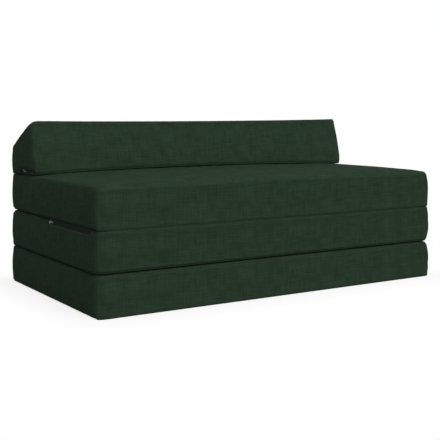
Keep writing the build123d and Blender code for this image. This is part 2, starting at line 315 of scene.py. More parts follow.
def crownAt(x, y):  # height of the seat over its edge, in metres
    stations = seatCrown["stations"]
    share = np.clip(y / mm(sofa["halfDepth"]), stations[0], stations[-1])
    middle = eased(share, seatCrown["middle"]) * mm(seatCrown["middleRise"])
    across = np.clip(x / (mm(sofa["halfWidth"]) * seatCrown["reach"]), -1, 1)
    left, right = seatCrown["leftRise"], seatCrown["rightRise"]
    ends = eased(share, seatCrown["ends"]) * mm(left + (right - left) * (1 + across) / 2)
    return ends + (middle - ends) * (1 - across**2)


# Side outlines, as y and z of the four corners: front low, front high, back low, back high
def blockOutline(low, high):
    front = -sofa["halfDepth"] + sofa["swell"]
    return {
        "corners": ((front, low), (front, high), (-front, low), (-front, high)),
        "half": (sofa["halfWidth"] - sofa["swell"], -front, (high - low) / 2),
        "radius": sofa["edgeRadius"],
        "swells": {"front": sofa["swell"], "back": 3, "top": 0, "ends": 3},
        "longer": (0, 1),
        "rightSwell": 4.4,  # the photograph's right end is fuller
        "uprightRadius": 26,
    }


# What the photograph adds to each outline, in millimetres: how far its left and right ends
# reach out, the radius of the two soft upright edges, how far the bolster's front tucks in over
# the seat, and how the bolster's top rises to the right, drops near the left end, sags in the
# middle and lifts at both ends. A full edge is one that a fold, a stiff seam or the weight above
# squares: which face, low (-1) or high (1), how square, and how much of the face's swell it keeps
half = sofa["restGap"] / 2
pitch = sofa["pitch"]
covers = {
    "lower": {
        **blockOutline(0, pitch - half),
        "fullEdges": (("front", -1, 0.9, 0.9), ("left", -1, 0.15, 0), ("back", 1, 1, 0)),
    },
    "middle": {
        **blockOutline(pitch + half, 2 * pitch - half),
        "fullEdges": (("back", -1, 1, 0), ("front", 1, 1, 0.9)),
    },
    "upper": {
        **blockOutline(2 * pitch + half, 3 * pitch - half),
        "fullEdges": (("front", -1, 1, 0.9), ("back", 1, 1, 0.5)),
        "rightSwell": 2.2,
    },
    "bolster": {
        "corners": ((115, 345.2), (160, 519.8), (325, 345.2), (327, 437.5)),
        "half": (596, 100, 80),
        "radius": 12,
        "swells": {"front": 3, "back": 3, "top": 3, "ends": 4},
        "longer": (0, 3),
        "rightSwell": 1.2,
        "uprightRadius": 28,
        "fullEdges": (
            ("back", -1, 1, 0.5), ("back", 1, 1, 0.25), ("right", 1, 0.6, 0.5),
            ("front", -1, 0.7, 0.6), ("front", 1, 0.3, 0), ("left", 1, 0.35, 0.3),
        ),
        "tuck": {"depth": 6, "height": 15, "from": (-0.4, -0.95)},
        "topTilt": {"rise": 2.0, "drop": 5.4, "dropReach": 25, "sag": 3.0, "lift": 0.8},
    },
}
bodyOf = {name: name if name == "bolster" else name + "_block" for name in covers}
# The cloth's grid: its cells away from the seams, and its lines round an edge, in degrees from
# the flat face and from the side
clothGrain = {
    "cell": 10,
    "longest": 1.4,  # cells, before an edge is cut
    "slotCuts": 3,
    "outward": (0, 9, 18, 27, 36, 39),
    "upward": (0, 5.6, 8.6, 16, 23, 26.5, 30, 33.5, 39),
    "weld": 1e-7,
}

# Zips: which end and which edge of the block, its length, and the bare tape past its far stop
blockZip = {"side": 1, "edge": -1, "length": 285, "spare": 2}
zips = {
    "lower": blockZip,
    "middle": {**blockZip, "side": -1, "edge": 1},
    "upper": blockZip,
    "bolster": {"side": -1, "edge": -1, "length": 74, "spare": 17},
}
# Along the zip from the slider's rest place, across it, and up from the tape's face
zipSize = {
    "tilt": 30, "pinAlong": 3.5, "pinHeight": 4.28, "slotStart": -10.5, "slotHalf": 4.9,
    "slotFloor": -2.7, "slotWall": 0.7, "stop": 2.0, "tapeEnd": 3.0,
    "coverDepth": 12,  # deeper points belong to the cover's other faces
    "lip": (3, 9),  # the seam's relief fades out between these, across and past the slot
    "finer": (4, 3, 9),  # how far the finer mesh reaches past the slot, beside it and down
    # How high the cover lies over the tape, from where to where beside it, and how far past the
    # chain, where the pull reaches over it
    "flush": (0.6, 6, 14, 24),
}


def zipPlace(name):  # X along the chain to the front, Z out of the rounded edge
    tilt = math.radians(zipSize["tilt"])
    out = Vector((zips[name]["side"] * math.cos(tilt), 0, zips[name]["edge"] * math.sin(tilt)))
    along = Vector((0, -1, 0))
    joints = frame["record"]["behaviour"]["joints"]
    swing = next(joint for joint in joints if joint["name"] == name + "_pull_swing")
    toPin = along * mm(zipSize["pinAlong"]) + out * mm(zipSize["pinHeight"])
    place = Matrix((along, out.cross(along), out)).transposed().to_4x4()
    place.translation = Vector(swing["pos_m"]) - toPin
    return place


def slotRun(name):  # where the slot in the cover starts and ends along the zip
    return zipSize["slotStart"], zips[name]["length"] + zipSize["stop"] + zips[name]["spare"]


def gridLines(name, cover):
    radius = cover["radius"]
    lines = []
    for axis, half in enumerate(cover["half"]):
        angles = clothGrain["upward" if axis == 2 else "outward"]
        steps = [half - radius + radius * math.tan(math.radians(a)) for a in angles]
        lines.append([mm(side * step) for step in steps for side in (-1, 1)])
    start = zipPlace(name).translation.y
    low, high = (centre[0] for centre in cornerCentres(cover)[::2])
    for along in slotRun(name):
        for past in (0, zipSize["slotWall"] * (1 if along > 0 else -1)):
            share = (start - mm(along + past) - low) / (high - low)
            lines[1].append((2 * share - 1) * mm(cover["half"][1] - radius))
    return lines


def clothGrid(cover, lines):
    bm = bmesh.new()
    bmesh.ops.create_cube(bm, size=2)
    bmesh.ops.scale(bm, vec=mm(Vector(cover["half"])), verts=bm.verts)
    for axis, places in enumerate(lines):
        facing = Vector([float(n == axis) for n in range(3)])
        for place in places:
            bmesh.ops.bisect_plane(
                bm, geom=bm.verts[:] + bm.edges[:] + bm.faces[:], dist=clothGrain["weld"],
                plane_co=facing * place, plane_no=facing,
            )
    cell = mm(clothGrain["cell"])
    for axis in range(3):
        spans = {}
        for edge in bm.edges:
            span = abs(edge.verts[0].co[axis] - edge.verts[1].co[axis])
            if span > cell * clothGrain["longest"]:
                spans.setdefault(round(span, 6), []).append(edge)
        for span, edges in spans.items():
            bmesh.ops.subdivide_edges(
                bm, edges=edges, cuts=round(span / cell) - 1, use_grid_fill=True,
            )
    bmesh.ops.recalc_face_normals(bm, faces=bm.faces)
    return toMesh(bm, "cloth")


def fetch(items, field, width=1, kind=float):
    values = np.empty(len(items) * width, kind)
    items.foreach_get(field, values)
    return values.reshape(-1, width) if width > 1 else values


def pointsOf(mesh):
    return fetch(mesh.vertices, "co", 3)


def normalsOf(mesh):
    return fetch(mesh.vertices, "normal", 3)


def setPoints(mesh, points):
    mesh.vertices.foreach_set("co", points.astype(np.float32).ravel())
    mesh.update()


def store(mesh, name, values):
    layer = mesh.attributes.new(name, "FLOAT", "POINT")
    layer.data.foreach_set("value", values.astype(np.float32))


def stored(mesh, name):
    return fetch(mesh.attributes[name].data, "value")


def layFlat(mesh, places):  # where each corner's thread lies in the flat cloth
    layer = mesh.uv_layers.new(name="cloth")
    layer.uv.foreach_set("vector", places.astype(np.float32).ravel())


def unit(pair):
    return np.array(pair) / math.hypot(*pair)


def facesOf(cover):  # which way each face of the side outline looks, as y and z
    frontLow, frontHigh, backLow, backHigh = (np.array(c) for c in cover["corners"])
    frontRun, backRun = unit(frontHigh - frontLow), unit(backHigh - backLow)
    topRun = unit(backHigh - frontHigh)
    return {
        "front": np.array((-frontRun[1], frontRun[0])),
        "back": np.array((backRun[1], -backRun[0])),
        "top": np.array((-topRun[1], topRun[0])),
        "low": np.array((0.0, -1.0)),
    }


def cornerCentres(cover):  # where two faces, moved in by the edge's radius, meet
    facing = facesOf(cover)
    pairs = (("front", "low"), ("front", "top"), ("back", "low"), ("back", "top"))
    centres = []
    for corner, (one, other) in zip(cover["corners"], pairs):
        system = np.array((facing[one], facing[other]))
        centres.append(mm(np.linalg.solve(system, system @ corner - cover["radius"])))
    return centres


# How the form turns: the powers of a round and of a square edge's curve, where a face starts to
# count as one's own, up to where it keeps its swell, where a side turns into a flat face in
# degrees, and how soft the seams round the seat's top are
formSize = {
    "round": 2, "square": 6, "ownFace": (-0.1, 0.5), "keptTo": (0, 0.8), "crownAbove": 0.7,
    "flatFrom": (60, 90), "seatSeam": 0.85,
}


def fullEdges(cover, toRight, toBack, up, heightShare):
    held, kept = np.zeros((2, len(up)))
    turned = {"back": toBack, "front": -toBack, "left": -toRight, "right": toRight}
    for face, edge, square, keep in cover["fullEdges"]:
        own = smooth(*formSize["ownFace"], turned[face])
        held = np.maximum(held, square * own * (up == edge))
        kept = np.maximum(kept, keep * own * smooth(*formSize["keptTo"], edge * heightShare))
    return held, kept


# Each point of the grid goes to its place on the padded form: the flat part stays flat, and
# what is within a radius of an edge turns round it
def paddedForm(cover, box):
    isSeat, isBolster = cover is covers["upper"], cover is covers["bolster"]
    radius = mm(cover["radius"])
    half = mm(cover["half"])
    core = half - radius
    inner = np.clip(box, -core, core)
    rest = box - inner
    reach = np.maximum(abs(rest[:, 0]), abs(rest[:, 1]))
    tilt = np.arctan2(abs(rest[:, 2]), reach)
    turn = np.arctan2(rest[:, 1], rest[:, 0])
    up = np.sign(rest[:, 2])
    cosTilt, sinTilt, cosTurn, sinTurn = np.cos(tilt), np.sin(tilt), np.cos(turn), np.sin(turn)
    depthShare = (inner[:, 1] + radius * cosTilt * sinTurn) / half[1]
    heightShare = (inner[:, 2] + radius * up * sinTilt) / half[2]

    facing = facesOf(cover)
    centres = [np.tile(c, (len(box), 1)) for c in cornerCentres(cover)]
    rises = {}
    if isBolster:  # its underside follows the seat's crown
        for n in (0, 2):
            low, high = mm(cover["corners"][n:n + 2])
            run = unit(high - low)
            rises[n] = crownAt(inner[:, 0], np.full(len(box), low[0]))
            centres[n] += run * (rises[n] / run[1])[:, None]
    u = (inner[:, 1] / core[1] + 1)[:, None] / 2
    v = (inner[:, 2] / core[2] + 1)[:, None] / 2
    section = (
        (1 - u) * ((1 - v) * centres[0] + v * centres[1])
        + u * ((1 - v) * centres[2] + v * centres[3])
    )

    backward = sinTurn[:, None] > 0
    sideways = np.where(backward, facing["back"], facing["front"]) * abs(sinTurn)[:, None]
    side = np.column_stack((cosTurn, sideways))
    flat = np.where(up[:, None] > 0, facing["top"], facing["low"])
    flat = np.column_stack((np.zeros(len(box)), flat))
    angle = np.arccos(np.clip((side * flat).sum(1), -1, 1))
    share = tilt / (math.pi / 2)
    weights = np.sin((1 - share) * angle), np.sin(share * angle)
    outward = side * weights[0][:, None] + flat * weights[1][:, None]
    held, kept = fullEdges(cover, cosTurn, sinTurn, up, heightShare)
    power = formSize["round"] + (formSize["square"] - formSize["round"]) * held
    full = (cosTilt**power + sinTilt**power)**(-1 / power)
    points = np.column_stack((inner[:, 0], section))
    points += radius * outward * (full / np.sin(angle))[:, None]

    swells = {name: mm(s) for name, s in cover["swells"].items()}
    bow = 1 - heightShare**2 * (1 - kept)
    points[:, 0] += swells["ends"] * bow * points[:, 0] / half[0]
    toFront, toBack = bow * (1 - depthShare) / 2, bow * (1 + depthShare) / 2
    toTop = (1 - depthShare**2) * (1 + heightShare) / 2
    points[:, 1:] += (
        np.outer(toFront * swells["front"], facing["front"])
        + np.outer(toBack * swells["back"], facing["back"])
        + np.outer(toTop * swells["top"], facing["top"])
    )
    crown = crownAt(points[:, 0], points[:, 1])
    if isSeat:
        above = formSize["crownAbove"]
        points[:, 2] += crown * smooth(-above, above, heightShare)
    if isBolster:
        straight = rises[0] + (rises[2] - rises[0]) * (depthShare + 1) / 2
        points[:, 2] += (crown - straight) * (1 - heightShare) / 2
    points[:, 0] *= 1 + mm(np.where(points[:, 0] < 0, *cover["longer"])) / half[0]
    rounded = radius * np.column_stack((cosTilt * cosTurn, cosTilt * sinTurn, cosTilt))
    points[:, :2] += uprightShift(cover, core, inner, rounded)
    if isBolster:
        tuck, top = cover["tuck"], cover["topTilt"]
        tucked = np.exp(-((heightShare + 1) * half[2] / mm(tuck["height"]))**2)
        points[:, 1] += mm(tuck["depth"]) * tucked * smooth(*tuck["from"], depthShare)
        atEnd = smooth(half[0] - mm(top["dropReach"]), half[0], -points[:, 0])
        across = np.clip(points[:, 0] / half[0], -1, 1)
        higher = top["rise"] * across - top["drop"] * atEnd
        higher += top["lift"] * across**4 - top["sag"] * (1 - across**2)
        points[:, 2] += mm(higher) * (1 + heightShare) / 2
    inward = np.minimum(core[0] - abs(inner[:, 0]), core[1] - abs(inner[:, 1]))
    seam = math.radians(sofa["seamAngle"])
    fromSeam = radius * abs(tilt - seam) + inward + core[2] - abs(inner[:, 2])
    onFlat = up * smooth(*np.radians(formSize["flatFrom"]), tilt)
    # The seams that the photograph hardly shows: at the folds and round the seat's top
    softSeam = np.maximum(held, formSize["seatSeam"] * (up > 0) * isSeat)
    return points, {"fromSeam": fromSeam, "onFlat": onFlat, "softSeam": softSeam}


# The front left and back right upright edges are rounder: their points move in along the lines
# from the middle of the larger arc
def uprightShift(cover, core, inner, rounded):
    larger = mm(cover["uprightRadius"] - cover["radius"])
    sign = np.sign(inner[:, :2])
    past = np.maximum(abs(inner[:, :2] + rounded[:, :2]) - (core[:2] - larger), 0)
    small = rounded[:, 2]
    outer = larger + small
    angle = np.arctan2(past[:, 1], past[:, 0])
    cos, sin = np.cos(angle), np.sin(angle)
    straight = outer / np.maximum(cos, sin)
    toArc = larger * (cos + sin)
    arc = toArc + np.sqrt(np.maximum(toArc**2 - 2 * larger**2 + small**2, 0))
    edge = np.where(np.minimum(cos, sin) * straight < larger, straight, arc)
    soft = (past > 0).all(1) & (inner[:, 0] * inner[:, 1] > 0)
    return sign * past * ((outer / edge - 1) * soft)[:, None]


# Where the thread of each panel lies flat: along and across the top, the base and the band. The
# panels are cut apart from each other in the cloth, in metres
panelApart = {1: 3.3, 0: 0.0, -1: -4.1}


def layCloth(mesh, cover, box):
    radius = mm(cover["radius"])
    core = mm(cover["half"]) - radius
    past = abs(box) - core
    flat = np.where(past > 0, core + radius * np.arctan2(past, radius), abs(box)) * np.sign(box)
    edge = core + radius * math.pi / 4
    normals = fetch(mesh.polygons, "normal", 3)
    centres = fetch(mesh.polygons, "center", 3)
    faceOf = np.repeat(np.arange(len(normals)), fetch(mesh.polygons, "loop_total", 1, np.int32))
    axis = abs(normals).argmax(1)
    sign = np.sign(normals[np.arange(len(axis)), axis])[faceOf]
    axis = axis[faceOf]
    seam = core[2] + radius * math.tan(math.radians(sofa["seamAngle"]))
    panel = np.where(abs(centres[:, 2]) > seam, np.sign(centres[:, 2]), 0)[faceOf]
    at = flat[fetch(mesh.loops, "vertex_index", 1, np.int32)]
    x, y, z = at.T
    over = edge[2] - abs(z)
    lies = (  # on the band's ends and fronts, the panels' rims there, and the flat faces
        (axis == 0, panel == 0, y * sign + sign * (edge[0] + edge[1]), z),
        (axis == 1, panel == 0, -x * sign, z),
        (axis == 0, panel != 0, sign * (edge[0] + over), y),
        (axis == 1, panel != 0, x, sign * (edge[1] + over)),
        (axis == 2, True, x, y),
    )
    uv = np.empty((len(at), 2))
    for facing, inPanel, along, across in lies:
        chosen = facing & inPanel
        uv[chosen] = np.column_stack((along, across))[chosen]
    for side, apart in panelApart.items():
        uv[panel == side] += apart
    layFlat(mesh, uv)


# How the filling swells the cover, in millimetres
padding = {
    "startSmaller": 1.5,
    "looseFrom": (1, 12),  # off the seam, for the simulation
    "swellsTo": 25,  # off the seam, where the swell is full
    "faces": (0.5, 1),  # how straight a point looks one way, to swell with that face
    "frames": 20, "leftSwell": 0.6, "topSwell": 1.6, "wrinkle": 1.6, "slide": 1.2,
    "wrinklePasses": 30,  # the simulation's broad swell is left to the form
    "unevenness": 1.1, "unevenSize": 170, "sewnWidth": 2.2,
}
clothSettings = {
    "quality": 5, "mass": 0.3, "tension_stiffness": 15, "compression_stiffness": 15,
    "shear_stiffness": 5, "bending_stiffness": 1, "use_pressure": True,
    "uniform_pressure_force": 4, "shrink_min": -0.012, "vertex_group_mass": "sewn",
}
seedSteps = (3.1, 7.7, 1.9)


def noiseAt(points, size, seed):
    shift = Vector([seed * step for step in seedSteps])
    return np.array([noise.noise(Vector(p) / mm(size) + shift) for p in points])


def addFilling(cushion, form, normals, fromSeam):
    sewn = np.nonzero(fromSeam < mm(padding["sewnWidth"]))[0]
    loose = smooth(*mm(padding["looseFrom"]), fromSeam)
    setPoints(cushion.data, form - normals * (mm(padding["startSmaller"]) * loose)[:, None])
    cushion.vertex_groups.new(name="sewn").add(sewn.tolist(), 1.0, "REPLACE")
    filling = cushion.modifiers.new("filling", "CLOTH")
    setAll(filling.settings, **clothSettings)
    filling.settings.effector_weights.gravity = 0
    filling.collision_settings.use_collision = False


def spread(mesh, values, passes):  # evens values out between neighbouring points
    ends = fetch(mesh.edges, "vertices", 2, np.int32)
    others = ends[:, ::-1].ravel()
    ends = ends.ravel()
    count = np.bincount(ends, minlength=len(values))
    for _ in range(passes):
        values = (values + np.bincount(ends, values[others], len(values)) / count) / 2
    return values


def shownBy(piece):
    return piece.evaluated_get(bpy.context.evaluated_depsgraph_get())


def wrinkled(cushion, form, normals):  # how far the simulation creases the cloth off its form
    moved = pointsOf(shownBy(cushion).data) - form
    lift = (moved * normals).sum(1)
    slide = moved - normals * lift[:, None]
    length = np.maximum(np.linalg.norm(slide, axis=1), clothGrain["weld"])
    slide *= np.minimum(1, mm(padding["slide"]) / length)[:, None]
    crease = lift - spread(cushion.data, lift, padding["wrinklePasses"])
    most = mm(padding["wrinkle"])
    return slide, most * np.tanh(crease / most)


cushions, forms = {}, {}
for name, cover in covers.items():
    mesh = clothGrid(cover, gridLines(name, cover))
    box = pointsOf(mesh)
    layCloth(mesh, cover, box)
    form, fields = paddedForm(cover, box)
    setPoints(mesh, form)
    shadeSmooth(mesh)
    normals = normalsOf(mesh)
    for field, values in fields.items():
        store(mesh, field, values)
    mesh.materials.append(coverMaterial)
    cushions[name] = addObject(name + "_cushion", mesh)
    forms[name] = form, normals
    addFilling(cushions[name], form, normals, fields["fromSeam"])
    print("cover", name, len(mesh.polygons), "faces")

for step in range(1, padding["frames"] + 1):
    scene.frame_set(step)
print("filled")


def restsOn(name, onFlat):  # 1 on the faces that lie on something, which stay flat
    return np.clip(-onFlat, 0, 1) if name in ("upper", "bolster") else abs(onFlat)


for count, (name, cushion) in enumerate(cushions.items()):
    form, normals = forms[name]
    mesh = cushion.data
    free = 1 - restsOn(name, stored(mesh, "onFlat"))
    loose = free * smooth(0, mm(padding["swellsTo"]), stored(mesh, "fromSeam"))
    left, right, top, pressed = (smooth(*padding["faces"], facing) for facing in (
        -normals[:, 0], normals[:, 0], normals[:, 2],
        abs(normals[:, 1]),  # the open bed's blocks meet here
    ))
    lift = mm(
        left * padding["leftSwell"] + right * covers[name]["rightSwell"]
        + top * padding["topSwell"]
    )
    lift += (noiseAt(form, padding["unevenSize"], count) - pressed) * mm(padding["unevenness"])
    lift *= loose
    slide = np.zeros_like(form)
    slide, crease = wrinkled(cushion, form, normals)
    cushion.modifiers.clear()
    lift += (crease - pressed * abs(crease)) * loose
    setPoints(mesh, form + slide * free[:, None] + normals * lift[:, None])
    print("filled", name)


# What shows where the cover is sewn: a groove, a roll of cloth beside it and small puckers
seams = {
    "depth": 1.5, "width": 1.1, "roll": 0.45, "rollAt": 3.6, "rollWidth": 2.2, "soft": 0.85,
    "pucker": 0.5, "puckerSize": 15, "puckerReach": 9, "puckerLeast": 0.02, "puckerSeed": 11,
}


def finer(cushion):
    finish = cushion.modifiers.new("finer", "SUBSURF")
    finish.levels = finish.render_levels = 1
    mesh = bpy.data.meshes.new_from_object(shownBy(cushion))
    cushion.modifiers.clear()
    cushion.data = mesh
    return mesh


def finerAtSlot(name, mesh):  # where the slot runs off the seam, its lips need a finer mesh
    inverse = zipPlace(name).inverted()
    past, beside, down = zipSize["finer"]
    start, end = slotRun(name)
    bm = bmesh.new()
    bm.from_mesh(mesh)
    near = []
    for edge in bm.edges:
        middle = inverse @ ((edge.verts[0].co + edge.verts[1].co) / 2)
        beneath = abs(middle.y) < mm(zipSize["slotHalf"] + beside) and abs(middle.z) < mm(down)
        if mm(start - past) < middle.x < mm(end + past) and beneath:
            near.append(edge)
    bmesh.ops.subdivide_edges(bm, edges=near, cuts=clothGrain["slotCuts"], use_grid_fill=True)
    bm.to_mesh(mesh)
    bm.free()
    shadeSmooth(mesh)


# The cover parts over the zip, down past the slider's lower plate. Also gives the share of the
# seam's relief that stays beside the slot
def openSlot(name, points):
    inverse = np.array(zipPlace(name).inverted())
    local = points @ inverse[:3, :3].T + inverse[:3, 3]
    along, across, height = local[:, 0], abs(local[:, 1]), local[:, 2]
    wall, half = mm(zipSize["slotWall"]), mm(zipSize["slotHalf"])
    start, end = mm(slotRun(name))
    onZip = height > -mm(zipSize["coverDepth"])
    inside = 1 - smooth(half - wall / 2, half + wall / 2, across)
    inside *= smooth(start - wall, start, along) * (1 - smooth(end, end + wall, along)) * onZip
    past = np.maximum(np.maximum(start - along, along - end), 0)
    lip = smooth(*mm(zipSize["lip"]), across + past)
    over, near, far, pullReach = mm(zipSize["flush"])
    pastPull = max(end + far, mm(zips[name]["length"]) + pullReach)
    beside = 1 - smooth(near, far, across)
    beside *= smooth(start - far, start, along) * (1 - smooth(end, pastPull, along))
    height -= np.maximum(height - over, 0) * beside
    height += (mm(zipSize["slotFloor"]) - height) * inside
    forward = np.array(zipPlace(name))
    opened = local @ forward[:3, :3].T + forward[:3, 3]
    return opened, (1 - inside) * np.where(onZip, lip, 1)


for count, (name, cushion) in enumerate(cushions.items()):
    mesh = finer(cushion)
    if name == "bolster":
        finerAtSlot(name, mesh)
    points, normals = pointsOf(mesh), normalsOf(mesh)
    away = stored(mesh, "fromSeam")
    opened, stays = openSlot(name, points)
    relief = -mm(seams["depth"]) * np.exp(-(away / mm(seams["width"]))**2)
    fromRoll = (away - mm(seams["rollAt"])) / mm(seams["rollWidth"])
    relief += mm(seams["roll"]) * np.exp(-fromRoll**2)
    near = np.exp(-(away / mm(seams["puckerReach"]))**2)
    some = near > seams["puckerLeast"]
    pucker = noiseAt(points[some], seams["puckerSize"], count + seams["puckerSeed"])
    relief[some] += pucker * mm(seams["pucker"]) * near[some]
    relief *= stays * (1 - seams["soft"] * stored(mesh, "softSeam"))
    setPoints(mesh, opened + normals * relief[:, None])
    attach(cushion, bodyOf[name])
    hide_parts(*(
        name + part for part in ("_foam", "_base_panel", "_side_band", "_top_panel")
    ))
    print("sewn", name, len(mesh.polygons), "faces")

# Fold strips: the cover's cloth in a narrow U, sewn into the edges that it joins
foldStrips = {
    "middle": {"blocks": ("lower", "middle"), "side": 1, "height": 115, "leg": 9.8},
    "upper": {"blocks": ("middle", "upper"), "side": -1, "height": 230, "leg": 9.8},
    "bolster": {"blocks": ("upper", "bolster"), "side": 1, "height": 345, "leg": 8.1},
}
stripSize = {
    "axis": 329.2, "halfLength": 575, "fold": 1.3, "thickness": 0.8, "cell": 6, "across": 28,
    "wave": 0.35, "waveSize": 35, "tuck": 5, "tuckReach": 22,
    "pressed": 0.75,  # the fold's depth for its height, as the blocks press it
    "recess": 2.2,
}


def makeStrip(name, strip):
    fold, thickness = stripSize["fold"], stripSize["thickness"]
    halfLength = stripSize["halfLength"]
    width = 2 * strip["leg"] + math.pi * fold  # of the outer face
    bm = bmesh.new()
    bmesh.ops.create_grid(
        bm, x_segments=round(2 * halfLength / stripSize["cell"]),
        y_segments=stripSize["across"], size=1,
    )
    bmesh.ops.scale(bm, vec=(mm(halfLength), mm(width / 2), 1), verts=bm.verts)
    mesh = toMesh(bm, name + "_fold_strip")
    flat = pointsOf(mesh)
    layFlat(mesh, flat[fetch(mesh.loops, "vertex_index", 1, np.int32)][:, :2])
    along, run = flat[:, 0], flat[:, 1] / mm(1)
    turned = np.clip(run / fold, -math.pi / 2, math.pi / 2)
    back = np.maximum(abs(run) - math.pi / 2 * fold, 0)
    line = np.column_stack((along, 0 * along, 0 * along))
    wave = noiseAt(line, stripSize["waveSize"], strip["height"]) * stripSize["wave"]
    ends = smooth(mm(halfLength - stripSize["tuckReach"]), mm(halfLength), abs(along))
    rise = fold * stripSize["pressed"] * np.cos(turned) * (1 + wave)
    out = rise - back - stripSize["recess"] - stripSize["tuck"] * ends
    y = strip["side"] * mm(stripSize["axis"] + out)
    setPoints(mesh, np.column_stack((along, y, mm(strip["height"] + fold * np.sin(turned)))))
    bm = bmesh.new()
    bm.from_mesh(mesh)
    bmesh.ops.solidify(bm, geom=bm.faces[:], thickness=-strip["side"] * mm(thickness))
    bmesh.ops.recalc_face_normals(bm, faces=bm.faces)
    bm.to_mesh(mesh)
    bm.free()
    shadeSmooth(mesh)
    mesh.materials.append(coverMaterial)
    piece = addObject(name + "_fold_cloth", mesh)
    axis = Vector((0, strip["side"] * mm(stripSize["axis"]), mm(strip["height"])))
    near = Vector((0, 0, mm(fold - thickness / 2)))
    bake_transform(piece)
    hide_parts(name + "_fold_strip")
    middleWidth = width - math.pi * thickness / 2  # half way into the cloth
    mm(middleWidth)
    mm(2 * stripSize["halfLength"])


for name, strip in foldStrips.items():
    makeStrip(name, strip)
print("fold strips", len(foldStrips))


# Zips, in millimetres along the zip, across it and up from the tape's face. Angles in degrees
zipMesh = {"softFrom": 50, "softSteps": 2, "cornerSteps": 5, "sharpFrom": 40, "barSides": 20}


def bevelled(bm, edges, offset, segments):
    bmesh.ops.bevel(
        bm, geom=edges, offset=offset, offset_type="OFFSET", segments=segments, profile=0.5,
        affect="EDGES", material=-1,
    )


def softened(bm, offset):  # rounds the sharp edges
    edges = [edge for edge in bm.edges if len(edge.link_faces) == 2]
    sharp = math.radians(zipMesh["softFrom"])
    bevelled(bm, [e for e in edges if e.calc_face_angle() > sharp], offset, zipMesh["softSteps"])


def addTo(bm, made):
    mesh = toMesh(made, "piece")
    bm.from_mesh(mesh)
    bpy.data.meshes.remove(mesh)


def addBlock(bm, run, across, height, soft=0.0, corner=0.0):
    made = bmesh.new()
    bmesh.ops.create_cube(made, size=1)
    low, high = (Vector(ends) for ends in zip(run, across, height))
    bmesh.ops.scale(made, vec=high - low, verts=made.verts)
    bmesh.ops.translate(made, vec=(low + high) / 2, verts=made.verts)
    if corner:
        upright = [e for e in made.edges if e.verts[0].co.xy == e.verts[1].co.xy]
        bevelled(made, upright, corner, zipMesh["cornerSteps"])
    if soft:
        softened(made, soft)
    addTo(bm, made)


def addPair(bm, run, across, height, soft):  # one block on each side of the chain
    for side in (-1, 1):
        addBlock(bm, run, sorted(side * edge for edge in across), height, soft)


def addRound(bm, centre, radius, half):  # a short round bar across the zip
    turn = Matrix.Rotation(math.pi / 2, 4, "X")
    bmesh.ops.create_cone(
        bm, cap_ends=True, segments=zipMesh["barSides"], radius1=radius, radius2=radius,
        depth=2 * half, matrix=Matrix.Translation(centre) @ turn,
    )


def addPierced(bm, outline, centre, radius, thickness, place):  # a flat plate with a round hole
    made = bmesh.new()
    loops = []
    middle = Vector(centre)
    spots = [Vector(p) for p in outline]
    for ring in (spots, [middle + (p - middle).normalized() * radius for p in spots]):
        verts = [made.verts.new((p.x, p.y, -thickness / 2)) for p in ring]
        loops += [made.edges.new((verts[n - 1], verts[n])) for n in range(len(verts))]
    faces = bmesh.ops.bridge_loops(made, edges=loops)["faces"]
    grown = bmesh.ops.extrude_face_region(made, geom=faces)["geom"]
    moved = [v for v in grown if isinstance(v, bmesh.types.BMVert)]
    bmesh.ops.translate(made, vec=(0, 0, thickness), verts=moved)
    bmesh.ops.recalc_face_normals(made, faces=made.faces)
    softened(made, zipPull["plateSoft"])
    bmesh.ops.transform(made, matrix=place, verts=made.verts)
    addTo(bm, made)


def finishPiece(name, part, bm, material, body, replaced=True):
    bmesh.ops.recalc_face_normals(bm, faces=bm.faces)
    mesh = toMesh(bm, name + "_" + part)
    mesh.transform(zipPlace(name) @ Matrix.Scale(mm(1), 4))
    shadeSmooth(mesh)
    mesh.set_sharp_from_angle(angle=math.radians(zipMesh["sharpFrom"]))
    mesh.materials.append(material)
    piece = addObject(name + "_" + part, mesh)
    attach(piece, body)
    if replaced:
        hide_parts(name + "_zip_" + part)


zipTape = {"inner": 0.6, "outer": 6.4, "thickness": 0.7, "start": -13.5, "cell": 3, "across": 4}


def makeTape(name):
    end, start = slotRun(name)[1] + zipSize["tapeEnd"], zipTape["start"]
    inner, outer = zipTape["inner"], zipTape["outer"]
    bm = bmesh.new()
    layer = bm.loops.layers.uv.new("cloth")
    for side in (-1, 1):
        made = bmesh.ops.create_grid(
            bm, x_segments=round((end - start) / zipTape["cell"]), y_segments=zipTape["across"],
            size=0.5, calc_uvs=False,
        )["verts"]
        bmesh.ops.scale(bm, vec=(end - start, outer - inner, 1), verts=made)
        middle = ((end + start) / 2, side * (inner + outer) / 2, 0)
        bmesh.ops.translate(bm, vec=middle, verts=made)
    bmesh.ops.solidify(bm, geom=bm.faces[:], thickness=zipTape["thickness"])
    top = max(vert.co.z for vert in bm.verts)
    bmesh.ops.translate(bm, vec=(0, 0, -top), verts=bm.verts)
    for face in bm.faces:
        for loop in face.loops:
            loop[layer].uv = mm(loop.vert.co.xy)
    finishPiece(name, "tape", bm, tapeMaterial, bodyOf[name])


zipCoil = {
    "start": -1.5, "pitch": 1.4, "middle": 1.1, "height": 0.75, "radius": 1, "flat": 0.45,
    "wire": (0.3, 0.5), "steps": 10, "sides": 5, "weld": 0.01,
}


